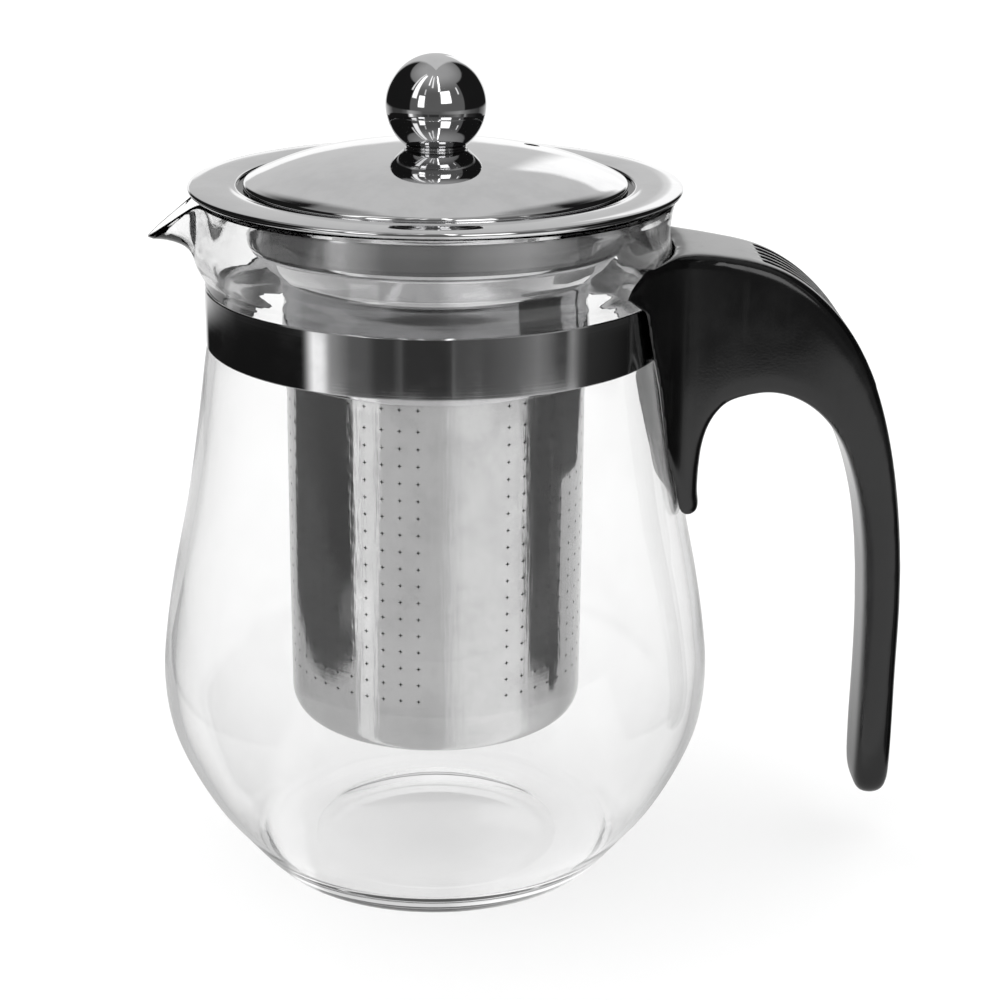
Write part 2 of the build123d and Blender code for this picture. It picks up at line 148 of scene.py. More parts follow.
def worn_surface_group():
    """Soft smudges, fine scratches and faint waviness, as masks and a height."""
    tree, given, result = socket_group(
        "worn_surface",
        [("Vector", None), ("Smudge Scale", 60.0), ("Scratch Scale", 400.0), ("Waviness Scale", 25.0)],
        ["Smudge", "Scratch", "Waviness"],
    )
    smudge = node(tree, "ShaderNodeTexNoise")
    smudge.inputs["Detail"].default_value = 4.0
    smudge.inputs["Roughness"].default_value = 0.62
    tree.links.new(given.outputs["Vector"], smudge.inputs["Vector"])
    tree.links.new(given.outputs["Smudge Scale"], smudge.inputs["Scale"])
    stretched = node(tree, "ShaderNodeMapping")
    stretched.inputs["Scale"].default_value = (1.0, 1.0, 0.06)
    stretched.inputs["Rotation"].default_value = (0.5, 0.35, 0.2)
    tree.links.new(given.outputs["Vector"], stretched.inputs["Vector"])
    scratch = node(tree, "ShaderNodeTexNoise")
    scratch.inputs["Detail"].default_value = 2.0
    tree.links.new(stretched.outputs[0], scratch.inputs["Vector"])
    tree.links.new(given.outputs["Scratch Scale"], scratch.inputs["Scale"])
    waves = node(tree, "ShaderNodeTexNoise")
    waves.inputs["Detail"].default_value = 1.0
    tree.links.new(given.outputs["Vector"], waves.inputs["Vector"])
    tree.links.new(given.outputs["Waviness Scale"], waves.inputs["Scale"])
    tree.links.new(remap(tree, smudge.outputs["Fac"], 0.35, 0.72, 0.0, 1.0), result.inputs["Smudge"])
    tree.links.new(remap(tree, scratch.outputs["Fac"], 0.56, 0.75, 0.0, 1.0), result.inputs["Scratch"])
    tree.links.new(waves.outputs["Fac"], result.inputs["Waviness"])
    return tree


def spun_grain_group():
    """Lines left by spinning or polishing: rings about the pot's axis, by radius and by height."""
    tree, given, result = socket_group(
        "spun_grain",
        [("Vector", None), ("Ring Scale", 900.0), ("Sheet Scale", 60.0)],
        ["Rings", "Sheet"],
    )
    parts = node(tree, "ShaderNodeSeparateXYZ")
    tree.links.new(given.outputs["Vector"], parts.inputs[0])
    x, y, z = parts.outputs
    radius = radius_of(tree, x, y)
    turn = maths(tree, "ARCTAN2", y, x)
    ring_place = node(tree, "ShaderNodeCombineXYZ")
    tree.links.new(maths(tree, "MULTIPLY", radius, given.outputs["Ring Scale"]), ring_place.inputs[0])
    tree.links.new(maths(tree, "MULTIPLY", z, given.outputs["Ring Scale"]), ring_place.inputs[1])
    tree.links.new(maths(tree, "MULTIPLY", maths(tree, "SINE", turn), 0.8), ring_place.inputs[2])
    rings = node(tree, "ShaderNodeTexNoise")
    rings.inputs["Scale"].default_value = 1.0
    rings.inputs["Detail"].default_value = 3.0
    tree.links.new(ring_place.outputs[0], rings.inputs["Vector"])
    sheet_place = node(tree, "ShaderNodeCombineXYZ")
    tree.links.new(maths(tree, "MULTIPLY", maths(tree, "SINE", turn), 1.0), sheet_place.inputs[0])
    tree.links.new(maths(tree, "MULTIPLY", maths(tree, "COSINE", turn), 1.0), sheet_place.inputs[1])
    tree.links.new(maths(tree, "MULTIPLY", z, 3.0), sheet_place.inputs[2])
    sheet = node(tree, "ShaderNodeTexNoise")
    sheet.inputs["Detail"].default_value = 3.0
    tree.links.new(sheet_place.outputs[0], sheet.inputs["Vector"])
    tree.links.new(given.outputs["Sheet Scale"], sheet.inputs["Scale"])
    tree.links.new(rings.outputs["Fac"], result.inputs["Rings"])
    tree.links.new(sheet.outputs["Fac"], result.inputs["Sheet"])
    return tree


def painted_gap_shade_group():
    """Painted shade: 1 in the narrow trench round the lid, fading out towards the front; the steel's colour
    is darkened there to stand in for the shade in the gap between lid and flange.
    """
    tree, given, result = socket_group("painted_gap_shade", [("Vector", None)], ["Seam"])
    parts = node(tree, "ShaderNodeSeparateXYZ")
    tree.links.new(given.outputs["Vector"], parts.inputs[0])
    x, y, z = parts.outputs
    radius = radius_of(tree, x, y)
    inner = remap(tree, radius, 0.0353, 0.0357, 0.0, 1.0)
    outer = remap(tree, radius, 0.03755, 0.0378, 1.0, 0.0)
    low = remap(tree, z, 0.1359, 0.1363, 1.0, 0.0)
    high = remap(tree, z, 0.1352, 0.1353, 0.0, 1.0)
    across = maths(tree, "MULTIPLY", inner, outer)
    trench = maths(tree, "MULTIPLY", across, maths(tree, "MULTIPLY", low, high))
    # The painted shade fades out towards the front (-Y).
    painted_shade_toward_rear = remap(tree, y, -0.024, -0.014, 0.0, 1.0)
    tree.links.new(maths(tree, "MULTIPLY", trench, painted_shade_toward_rear), result.inputs["Seam"])
    return tree


PAINTED_GAP_SHADE = painted_gap_shade_group()
WORN_SURFACE = worn_surface_group()
SPUN_GRAIN = spun_grain_group()


def new_material(name):
    """A material with its Principled shader and Object coordinates."""
    material = bpy.data.materials.new(name)
    material.use_nodes = True
    tree = material.node_tree
    shader = tree.nodes["Principled BSDF"]
    place = node(tree, "ShaderNodeTexCoord", (-1400, 0)).outputs["Object"]
    return material, tree, shader, place


def use_group(tree, group, place, **values):
    """The group's outputs; underscores in a value's name stand for spaces."""
    made = node(tree, "ShaderNodeGroup", (-1100, 0), node_tree=group)
    tree.links.new(place, made.inputs["Vector"])
    for label, value in values.items():
        made.inputs[label.replace("_", " ")].default_value = value
    return made.outputs


def two_tone(tree, factor, first, second):
    """A colour mixed by factor."""
    mix = node(tree, "ShaderNodeMix", (-500, 200), data_type="RGBA")
    tree.links.new(factor, mix.inputs["Factor"])
    mix.inputs["A"].default_value = (*first, 1.0)
    mix.inputs["B"].default_value = (*second, 1.0)
    return mix.outputs["Result"]


def bumped(tree, shader, height, strength, distance):
    """Gives the shader a bump made from a height."""
    bump = node(tree, "ShaderNodeBump", (-300, -300))
    bump.inputs["Strength"].default_value = strength
    bump.inputs["Distance"].default_value = distance
    tree.links.new(height, bump.inputs["Height"])
    tree.links.new(bump.outputs["Normal"], shader.inputs["Normal"])


# ---------------------------------------------------------------- materials

def clear_glass_material():
    material, tree, shader, place = new_material("clear_glass")
    wear = use_group(tree, WORN_SURFACE, place, Smudge_Scale=70.0, Scratch_Scale=300.0, Waviness_Scale=34.0)
    shader.inputs["Transmission Weight"].default_value = 1.0
    shader.inputs["IOR"].default_value = 1.47
    colour = two_tone(tree, wear["Smudge"], (0.975, 0.975, 0.975), (0.955, 0.955, 0.955))
    tree.links.new(colour, shader.inputs["Base Color"])
    tree.links.new(remap(tree, wear["Smudge"], 0.0, 1.0, 0.0, 0.012), shader.inputs["Roughness"])
    bumped(tree, shader, wear["Waviness"], 0.10, 0.0012)
    return material


def polished_steel_material():
    material, tree, shader, place = new_material("polished_steel")
    wear = use_group(tree, WORN_SURFACE, place, Smudge_Scale=90.0, Scratch_Scale=900.0, Waviness_Scale=40.0)
    grain = use_group(tree, SPUN_GRAIN, place, Ring_Scale=2600.0, Sheet_Scale=3.0)
    shader.inputs["Metallic"].default_value = 1.0
    # Painted shade: the mask from the lid's gap group turns the steel's colour near black in the narrow gap
    # round the lid, in place of real shade there.
    seam = use_group(tree, PAINTED_GAP_SHADE, place)["Seam"]
    clean = two_tone(tree, wear["Smudge"], (0.70, 0.70, 0.705), (0.63, 0.63, 0.635))
    mix = node(tree, "ShaderNodeMix", (-300, 200), data_type="RGBA")
    tree.links.new(seam, mix.inputs["Factor"])
    tree.links.new(clean, mix.inputs["A"])
    # Near-black colour of the painted shade in the lid's gap.
    mix.inputs["B"].default_value = (0.012, 0.012, 0.012, 1.0)
    tree.links.new(mix.outputs["Result"], shader.inputs["Base Color"])
    marks = maths(tree, "ADD", wear["Smudge"], maths(tree, "MULTIPLY", grain["Rings"], 0.8))
    tree.links.new(remap(tree, marks, 0.2, 1.6, 0.035, 0.085), shader.inputs["Roughness"])
    height = maths(tree, "ADD", grain["Rings"], maths(tree, "MULTIPLY", wear["Scratch"], -0.3))
    bumped(tree, shader, height, 0.03, 0.00003)
    return material


def mirror_steel_material():
    material, tree, shader, place = new_material("mirror_steel")
    wear = use_group(tree, WORN_SURFACE, place, Smudge_Scale=160.0, Scratch_Scale=1500.0, Waviness_Scale=80.0)
    shader.inputs["Metallic"].default_value = 1.0
    colour = two_tone(tree, wear["Smudge"], (0.74, 0.74, 0.745), (0.68, 0.68, 0.685))
    tree.links.new(colour, shader.inputs["Base Color"])
    tree.links.new(remap(tree, wear["Smudge"], 0.0, 1.0, 0.02, 0.055), shader.inputs["Roughness"])
    bumped(tree, shader, wear["Scratch"], 0.04, 0.00003)
    return material


def satin_steel_material():
    material, tree, shader, place = new_material("satin_steel")
    wear = use_group(tree, WORN_SURFACE, place, Smudge_Scale=55.0, Scratch_Scale=700.0, Waviness_Scale=60.0)
    grain = use_group(tree, SPUN_GRAIN, place, Ring_Scale=1500.0, Sheet_Scale=26.0)
    shader.inputs["Metallic"].default_value = 1.0
    colour = two_tone(tree, wear["Smudge"], (0.70, 0.70, 0.70), (0.60, 0.60, 0.60))
    tree.links.new(colour, shader.inputs["Base Color"])
    marks = maths(tree, "ADD", wear["Smudge"], grain["Sheet"])
    tree.links.new(remap(tree, marks, 0.3, 1.6, 0.08, 0.14), shader.inputs["Roughness"])
    height = maths(tree, "ADD", grain["Sheet"], maths(tree, "MULTIPLY", grain["Rings"], 0.15))
    bumped(tree, shader, height, 0.12, 0.0004)
    return material


def black_plastic_material():
    material, tree, shader, place = new_material("black_plastic")
    wear = use_group(tree, WORN_SURFACE, place, Smudge_Scale=60.0, Scratch_Scale=500.0, Waviness_Scale=90.0)
    moulded = node(tree, "ShaderNodeTexNoise", (-1100, -400))
    moulded.inputs["Scale"].default_value = 2400.0
    moulded.inputs["Detail"].default_value = 2.0
    tree.links.new(place, moulded.inputs["Vector"])
    colour = two_tone(tree, wear["Smudge"], (0.0022, 0.0022, 0.0023), (0.0045, 0.0045, 0.0046))
    tree.links.new(colour, shader.inputs["Base Color"])
    marks = maths(tree, "ADD", wear["Smudge"], maths(tree, "MULTIPLY", wear["Scratch"], 0.6))
    tree.links.new(remap(tree, marks, 0.0, 1.4, 0.11, 0.2), shader.inputs["Roughness"])
    height = maths(tree, "ADD", maths(tree, "MULTIPLY", moulded.outputs["Fac"], 0.5), wear["Waviness"])
    bumped(tree, shader, height, 0.06, 0.0002)
    return material


def fastener_steel_material():
    material, tree, shader, place = new_material("fastener_steel")
    scales = {"Smudge_Scale": 260.0, "Scratch_Scale": 1800.0, "Waviness_Scale": 120.0}
    wear = use_group(tree, WORN_SURFACE, place, **scales)
    shader.inputs["Metallic"].default_value = 1.0
    colour = two_tone(tree, wear["Smudge"], (0.58, 0.58, 0.59), (0.46, 0.46, 0.47))
    tree.links.new(colour, shader.inputs["Base Color"])
    tree.links.new(remap(tree, wear["Smudge"], 0.0, 1.0, 0.24, 0.4), shader.inputs["Roughness"])
    bumped(tree, shader, wear["Scratch"], 0.1, 0.0001)
    return material


def turned_brass_material():
    material, tree, shader, place = new_material("turned_brass")
    scales = {"Smudge_Scale": 300.0, "Scratch_Scale": 2000.0, "Waviness_Scale": 150.0}
    wear = use_group(tree, WORN_SURFACE, place, **scales)
    shader.inputs["Metallic"].default_value = 1.0
    colour = two_tone(tree, wear["Smudge"], (0.72, 0.56, 0.28), (0.55, 0.40, 0.18))
    tree.links.new(colour, shader.inputs["Base Color"])
    tree.links.new(remap(tree, wear["Smudge"], 0.0, 1.0, 0.22, 0.4), shader.inputs["Roughness"])
    bumped(tree, shader, wear["Scratch"], 0.1, 0.0001)
    return material


CLEAR_GLASS = clear_glass_material()
POLISHED_STEEL = polished_steel_material()
MIRROR_STEEL = mirror_steel_material()
SATIN_STEEL = satin_steel_material()
BLACK_PLASTIC = black_plastic_material()
FASTENER_STEEL = fastener_steel_material()
TURNED_BRASS = turned_brass_material()


# ---------------------------------------------------------------- mesh helpers

def curve_through(points, per_span=6):
    """Points on a smooth (Catmull-Rom) curve through the given ones."""
    line = [Vector(p) for p in points]
    line = [line[0] * 2 - line[1]] + line + [line[-1] * 2 - line[-2]]
    made = []
    for a, b, c, d in zip(line, line[1:], line[2:], line[3:]):
        for step in range(per_span):
            t = step / per_span
            made.append(0.5 * (2 * b + (c - a) * t + (2 * a - 5 * b + 4 * c - d) * t**2
                               + (3 * b - a - 3 * c + d) * t**3))
    made.append(line[-2])
    return [tuple(p) for p in made]


def arc(centre, radius, start, end, steps=6):
    """Points on a circular arc in the profile plane; angles in degrees."""
    angles = [math.radians(start + (end - start) * step / steps) for step in range(steps + 1)]
    return [(centre[0] + radius * math.cos(a), centre[1] + radius * math.sin(a)) for a in angles]


def held(profile, run=2.6, hold=0.1):
    """The profile with a point added just inside both ends of every long straight run."""
    made = []
    for here, there in zip(profile, profile[1:] + profile[:1]):
        made.append(here)
        length = math.dist(here, there)
        if length > run:
            for share in (hold / length, 1 - hold / length):
                made.append(tuple(a + (b - a) * share for a, b in zip(here, there)))
    return made


def spun(profile, steps=METAL_STEPS, closed=True):
    """A bmesh made by turning a profile of (radius, height) about the axis."""
    bm = bmesh.new()
    verts = [bm.verts.new((r, 0.0, z)) for r, z in profile]
    edges = [bm.edges.new(pair) for pair in zip(verts, verts[1:])]
    if closed:
        edges.append(bm.edges.new((verts[-1], verts[0])))
    bmesh.ops.spin(
        bm, geom=verts + edges, cent=(0, 0, 0), axis=(0, 0, 1), angle=FULL_TURN, steps=steps, use_merge=True
    )
    bmesh.ops.remove_doubles(bm, verts=bm.verts, dist=0.0005)
    bmesh.ops.recalc_face_normals(bm, faces=bm.faces)
    return bm


def as_piece(bm, name, body, material, stands_for, sharp=38.0):
    """Turns the millimetre bmesh into a piece in metres that rides on its body."""
    bmesh.ops.scale(bm, vec=(MM, MM, MM), verts=bm.verts)
    mesh = bpy.data.meshes.new(name)
    bm.to_mesh(mesh)
    bm.free()
    mesh.shade_smooth()
    mesh.set_sharp_from_angle(angle=math.radians(sharp))
    mesh.materials.append(material)
    piece = bpy.data.objects.new(name, mesh)
    bpy.context.scene.collection.objects.link(piece)
    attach(piece, body)
    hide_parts(*stands_for)
    return piece


# ---------------------------------------------------------------- glass body

OUTLINE = [
    (36.0, 1.8), (37.6, 3.5), (41.2, 8.0), (45.8, 14.0), (50.2, 22.0), (53.2, 30.0), (54.2, 39.0),
    (53.4, 48.5), (51.5, 60.0), (48.4, 75.0), (46.0, 90.0), (44.3, 102.5), (43.6, 106.6), (43.33, 110.0),
    (43.33, 113.5), (43.45, 116.4), (43.95, 118.6), (45.2, 122.0), (44.4, 127.0), (44.6, 131.0),
    (45.2, 133.9),
]
LIP_START = 118.8
LIP_REACH = 10.75
LIP_DROP = 9.0
LIP_SPREAD = 7.4
LIP_EASE = 1.7
LIP_THINNING = 0.62


def glass_profile():
    """Outside from the middle of the base up to the rim, then the inside down again."""
    outline = curve_through(OUTLINE, 7)
    foot = [(0, 0.5), (22.0, 0.5), (25.0, 0.0), (33.5, 0.0), (35.0, 0.7)]
    rim = arc((44.1, RIM_TOP - 1.0), 1.0, 10, 170, 6)
    inner = [(r - GLASS_WALL, z) for r, z in reversed(outline) if 7.0 < z < RIM_TOP - 2.2]
    base = [(37.1, 5.4), (35.2, 3.9), (32.8, 3.15), (30.6, 3.0), (29.0, 3.2), (27.6, 2.95), (25.6, 2.4),
            (20.0, 2.2), (0, 2.2)]
    return foot + outline + rim + inner + base


def pull_lip(bm):
    """Bends the neck's wall outwards and down at the -X side, keeping the wall's thickness."""
    height = RIM_TOP - LIP_START
    for vert in bm.verts:
        x, y, z = vert.co
        if x > -20.0 or z < LIP_START:
            continue
        radius = math.hypot(x, y)
        share = math.exp(-((y / LIP_SPREAD) ** 2))
        rise = min(1.0, (z - LIP_START) / height)
        middle = 43.4 + 0.4 * rise
        off_middle = (radius - middle) * (1 - LIP_THINNING * share * rise)
        push = share * LIP_REACH * rise**LIP_EASE
        drop = share * LIP_DROP * rise**LIP_EASE
        slope = share * LIP_EASE * rise ** (LIP_EASE - 1)
        along = Vector((LIP_REACH * slope, height - LIP_DROP * slope)).normalized()
        new_radius = middle + push + off_middle * along.y
        new_height = z - drop - off_middle * along.x
        vert.co = (x / radius * new_radius, y / radius * new_radius, new_height)


def make_glass():
    bm = spun(glass_profile(), GLASS_STEPS, closed=False)
    pull_lip(bm)
    bmesh.ops.recalc_face_normals(bm, faces=bm.faces)
    return as_piece(bm, "glass_shell", "pot", CLEAR_GLASS, ["glass_body"], sharp=60.0)


# ---------------------------------------------------------------- neck band

def make_band():
    """A strap with rounded edges round the waist, its two ends turned out into ears inside the handle."""
    inner = BAND_R - BAND_SHEET
    edge = 0.2
    section = [
        (inner, BAND_BOTTOM + edge), (inner + edge, BAND_BOTTOM), (BAND_R - edge, BAND_BOTTOM),
        (BAND_R, BAND_BOTTOM + edge), (BAND_R, BAND_TOP - edge), (BAND_R - edge, BAND_TOP),
        (inner + edge, BAND_TOP), (inner, BAND_TOP - edge),
    ]
    half_gap = math.asin((EAR_GAP / 2) / BAND_R)
    bm = bmesh.new()
    verts = [bm.verts.new((r, 0.0, z)) for r, z in section]
    start = bm.faces.new(verts)
    bmesh.ops.rotate(bm, verts=bm.verts, cent=(0, 0, 0), matrix=Matrix.Rotation(half_gap, 3, "Z"))
    spin = bmesh.ops.spin(
        bm, geom=[start, *start.edges, *start.verts], cent=(0, 0, 0), axis=(0, 0, 1),
        angle=FULL_TURN - 2 * half_gap, steps=METAL_STEPS,
    )
    end = [item for item in spin["geom_last"] if isinstance(item, bmesh.types.BMFace)][0]
    for face, side in ((start, 1), (end, -1)):
        made = bmesh.ops.extrude_discrete_faces(bm, faces=[face])["faces"][0]
        turned_out = side * (EAR_GAP / 2 + BAND_SHEET / 2)
        for vert in made.verts:
            depth = math.hypot(vert.co.x, vert.co.y) - (BAND_R - BAND_SHEET / 2)
            height = EAR_MIDDLE + (vert.co.z - EAR_MIDDLE) * EAR_NARROWING
            vert.co = (BAND_R + EAR_BEND, turned_out - side * depth, height)
        tip = bmesh.ops.extrude_discrete_faces(bm, faces=[made])["faces"][0]
        bmesh.ops.translate(bm, verts=tip.verts, vec=(EAR_END - BAND_R - EAR_BEND, 0, 0))
    bmesh.ops.remove_doubles(bm, verts=bm.verts, dist=0.0005)
    bmesh.ops.recalc_face_normals(bm, faces=bm.faces)
    return as_piece(bm, "band_strap", "pot", POLISHED_STEEL, ["neck_band"])


# ---------------------------------------------------------------- infuser

def make_infuser_rim():
    """Flange with a rolled edge, lid seat, collar, cone and sleeve, pressed from one sheet."""
    outside = curve_through([(45.6, 135.0), (46.2, 135.15), (46.5, 135.6), (46.35, 136.1), (45.7, 136.38)], 3)
    top = curve_through([(44.0, 136.5), (42.0, 136.55), (39.6, 136.45), (38.3, 136.25)], 4)
    seat = arc((37.9, 135.75), 0.5, 100, 180, 4) + [(37.3, 135.42), (36.6, 135.38)]
    inner = [(35.6, 135.36), (35.25, 135.2), (35.2, 134.8), (35.2, 126.6), (35.05, 126.25)]
    cone_in = [(32.0, 122.9), (29.3, 120.1), (28.95, 119.5)]
    sleeve_in = [(28.9, 118.8), (28.9, 101.0), (29.0, 100.7)]
    sleeve_out = [(29.3, 100.7), (29.45, 100.95), (29.45, 118.4), (29.6, 119.2)]
    cone_out = [(30.0, 119.9), (32.8, 122.7), (35.2, 125.1), (35.65, 125.8)]
    collar_out = [(35.72, 126.4), (35.72, 133.6), (35.9, 134.5), (36.4, 134.85), (37.6, 134.9)]
    under = [(38.2, 135.2), (38.8, 135.75), (42.0, 136.0), (44.6, 135.9), (45.6, 135.6), (45.8, 135.3)]
    profile = outside + top + seat + inner + cone_in + sleeve_in + sleeve_out + cone_out + collar_out + under
    bm = spun(held(profile), METAL_STEPS)
    return as_piece(bm, "infuser_rim_pressing", "infuser", POLISHED_STEEL, ["infuser_rim"])


def make_basket_wall():
    """The rolled sheet: a flat grid with a bevelled hole at each cell's middle, rolled up and thickened."""
    cell_x = FULL_TURN * BASKET_R / HOLE_COLUMNS
    bm = bmesh.new()
    bmesh.ops.create_grid(bm, x_segments=2 * HOLE_COLUMNS, y_segments=2 * HOLE_ROWS, size=0.5)
    width, height = FULL_TURN * BASKET_R, HOLE_ROWS * ROW_PITCH
    bmesh.ops.scale(bm, vec=(width, height, 1.0), verts=bm.verts)
    bmesh.ops.translate(bm, verts=bm.verts, vec=(width / 2, height / 2, 0))
    centres = []
    for vert in bm.verts:
        column, row = vert.co.x / cell_x - 0.5, vert.co.y / ROW_PITCH - 0.5
        at_middle = abs(column - round(column)) < 0.1 and abs(row - round(row)) < 0.1
        if at_middle and round(column) >= BLANK_COLUMNS:
            centres.append(vert)
    bmesh.ops.bevel(
        bm, geom=centres, affect="VERTICES", offset=HOLE_R, offset_type="OFFSET", segments=2,
        profile=0.5, material=-1,
    )
    holes = [face for face in bm.faces if face.calc_area() < 4.0 * HOLE_R**2]
    bmesh.ops.delete(bm, geom=holes, context="FACES")
    bottom = LOWEST_ROW - ROW_PITCH / 2
    for vert in bm.verts:
        vert.co.y += bottom
    for level, target in ((bottom, CUP_TOP), (bottom + height, BASKET_TOP)):
        open_edges = [edge for edge in bm.edges if edge.is_boundary]
        rim = [edge for edge in open_edges if all(abs(v.co.y - level) < 0.01 for v in edge.verts)]
        made = bmesh.ops.extrude_edge_only(bm, edges=rim)["geom"]
        for vert in made:
            if isinstance(vert, bmesh.types.BMVert):
                vert.co.y = target
    first = math.radians(FIRST_COLUMN + 0.5 * 360.0 / HOLE_COLUMNS)
    for vert in bm.verts:
        angle = first + vert.co.x / BASKET_R
        in_top_row = bottom + height - ROW_PITCH + 0.1 < vert.co.y < bottom + height + 0.1
        lift = TOP_ROW_LIFT if in_top_row else 0.0
        vert.co = (BASKET_R * math.sin(angle), -BASKET_R * math.cos(angle), vert.co.y + lift)
    bmesh.ops.remove_doubles(bm, verts=bm.verts, dist=0.001)
    bmesh.ops.recalc_face_normals(bm, faces=bm.faces)
    bmesh.ops.solidify(bm, geom=bm.faces[:], thickness=BASKET_SHEET)
    return as_piece(bm, "basket_mesh_wall", "infuser", SATIN_STEEL, ["basket_wall"])


def make_basket_bottom():
    wall = BASKET_R - BASKET_SHEET
    outside = [(0, 30.5), (8.0, 30.5), (16.0, 30.5), (24.0, 30.5)] + arc((24.35, 35.0), 4.5, -90, 0, 8)
    inside = [(wall, CUP_TOP), (wall, 35.0)] + arc((24.35, 35.0), 4.1, -6, -90, 8) + [(16.0, 30.9), (0, 30.9)]
    bm = spun(outside + [(BASKET_R, 36.2), (BASKET_R, CUP_TOP)] + inside, METAL_STEPS, closed=False)
    return as_piece(bm, "basket_cup", "infuser", SATIN_STEEL, ["basket_bottom"])


# ---------------------------------------------------------------- lid and knob

def make_lid():
    """A polished dome with its edge turned down, and a steam vent."""
    dome = curve_through(DOME, 5)
    underside = [(r, z - LID_SHEET) for r, z in reversed(dome[6:])]
    edge = [(36.2, 135.9), (36.2, 136.15), (36.13, 136.4), (35.97, 136.62)]
    inside = [
        (34.9, 136.52), (35.45, 136.15), (35.6, 135.8), (35.62, 135.65),
        (35.8, 135.56), (36.05, 135.58), (36.18, 135.72),
    ]
    profile = edge + dome + [(0, LID_TOP), (0, LID_TOP - LID_SHEET)] + underside + inside
    piece = as_piece(spun(profile), "lid_disc", "lid", MIRROR_STEEL, ["lid_dome"])
    bm = bmesh.new()
    radius, depth = VENT_R * MM, PUNCH_LENGTH * MM
    bmesh.ops.create_cone(bm, cap_ends=True, segments=32, radius1=radius, radius2=radius, depth=depth)
    bmesh.ops.translate(bm, verts=bm.verts, vec=(VENT_X * MM, VENT_Y * MM, LID_TOP * MM))
    punch_mesh = bpy.data.meshes.new("punch")
    bm.to_mesh(punch_mesh)
    bm.free()
    punch = bpy.data.objects.new("punch", punch_mesh)
    bpy.context.scene.collection.objects.link(punch)
    cut = piece.modifiers.new("vent", "BOOLEAN")
    cut.operation = "DIFFERENCE"
    cut.object = punch
    bpy.context.view_layer.update()
    cut_mesh = bpy.data.meshes.new_from_object(piece.evaluated_get(bpy.context.evaluated_depsgraph_get()))
    piece.modifiers.clear()
    bpy.data.objects.remove(punch)
    bpy.data.meshes.remove(punch_mesh)
    cut_mesh.shade_smooth()
    cut_mesh.set_sharp_from_angle(angle=math.radians(38.0))
    piece.data = cut_mesh
    return piece


def make_locating_ring():
    profile = [
        (31.4, 138.03), (34.05, 136.88), (34.3, 136.62), (34.4, 136.3), (34.4, 130.6), (34.2, 130.15),
        (33.7, 130.0), (33.4, 130.25), (33.6, 130.6), (33.9, 131.1), (33.9, 136.1), (33.75, 136.4),
        (31.4, 137.5),
    ]
    return as_piece(spun(profile), "lid_ring", "lid", SATIN_STEEL, ["lid_locating_ring"])


def make_knob_collar():
    profile = [(1.95, LID_TOP), (5.6, LID_TOP)] + arc((5.55, LID_TOP + 0.275), 0.22, -60, 60, 5)
    profile += [(5.6, BALL_FOOT_Z), (1.95, BALL_FOOT_Z)]
    return as_piece(spun(profile, 96), "knob_spacer", "lid", MIRROR_STEEL, ["knob_collar"])


def make_ball_top():
    seam = math.degrees(math.asin((BALL_SEAM_Z - BALL_Z) / BALL_R))
    outer = arc((0, BALL_Z), BALL_R, seam + 0.5, 90, 28)
    inner = arc((0, BALL_Z), BALL_R - BALL_SHEET, 90, seam, 28)
    profile = outer + inner + [(BALL_R - 0.24, BALL_SEAM_Z), (BALL_R - 0.21, BALL_SEAM_Z)]
    bm = spun(profile, BALL_STEPS)
    return as_piece(bm, "knob_upper_shell", "lid", MIRROR_STEEL, ["knob_ball_top"])


def make_ball_bottom():
    seam = math.degrees(math.asin((BALL_SEAM_Z - BALL_Z) / BALL_R))
    foot = math.degrees(math.asin((BALL_FOOT_Z - BALL_Z) / BALL_R))
    outer = arc((0, BALL_Z), BALL_R, foot, seam - 0.5, 28)
    inner_foot = math.degrees(math.asin((BALL_FOOT_Z + BALL_SHEET - BALL_Z) / (BALL_R - BALL_SHEET)))
    inner = arc((0, BALL_Z), BALL_R - BALL_SHEET, seam, inner_foot, 20)
    floor = [(1.95, BALL_FOOT_Z + BALL_SHEET), (1.95, BALL_FOOT_Z)]
    profile = outer + [(BALL_R - 0.21, BALL_SEAM_Z)] + inner + floor
    bm = spun(profile, BALL_STEPS)
    return as_piece(bm, "knob_lower_shell", "lid", MIRROR_STEEL, ["knob_ball_bottom"])


# ---------------------------------------------------------------- handle

def make_handle():
    """The moulded handle: the frame's solid, softened along its edges but not in its grooves."""
    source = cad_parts["handle"]
    mesh = source.data.copy()
    mesh.name = "handle_moulding"
    bm = bmesh.new()
    bm.from_mesh(mesh)
    bmesh.ops.remove_doubles(bm, verts=bm.verts, dist=0.00001)
    bm.to_mesh(mesh)
    bm.free()
    piece = bpy.data.objects.new("handle_moulding", mesh)
    bpy.context.scene.collection.objects.link(piece)
    remesh = piece.modifiers.new("even", "REMESH")
    remesh.mode = "VOXEL"
    remesh.voxel_size = HANDLE_VOXEL
    bpy.context.view_layer.update()
    solid = bpy.data.meshes.new_from_object(piece.evaluated_get(bpy.context.evaluated_depsgraph_get()))
    piece.modifiers.clear()
    bm = bmesh.new()
    bm.from_mesh(solid)
    even = list(bm.verts)
    rounded = [v for v in even if not (0.058 < v.co.x < 0.087 and v.co.z > 0.099 and abs(v.co.y) < 0.0084)]
    axes = {"use_axis_x": True, "use_axis_y": True, "use_axis_z": True}
    for chosen, rounds in ((even, VOXEL_SOFTENING), (rounded, HANDLE_SOFTENING)):
        for _ in range(rounds):
            bmesh.ops.smooth_vert(bm, verts=chosen, factor=0.5, **axes)
    bm.to_mesh(solid)
    bm.free()
    piece.data = solid
    solid.materials.clear()
    solid.materials.append(BLACK_PLASTIC)
    solid.shade_smooth()
    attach(piece, "pot")
    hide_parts("handle")
    return piece


# ---------------------------------------------------------------- hardware kept as the frame's own solids

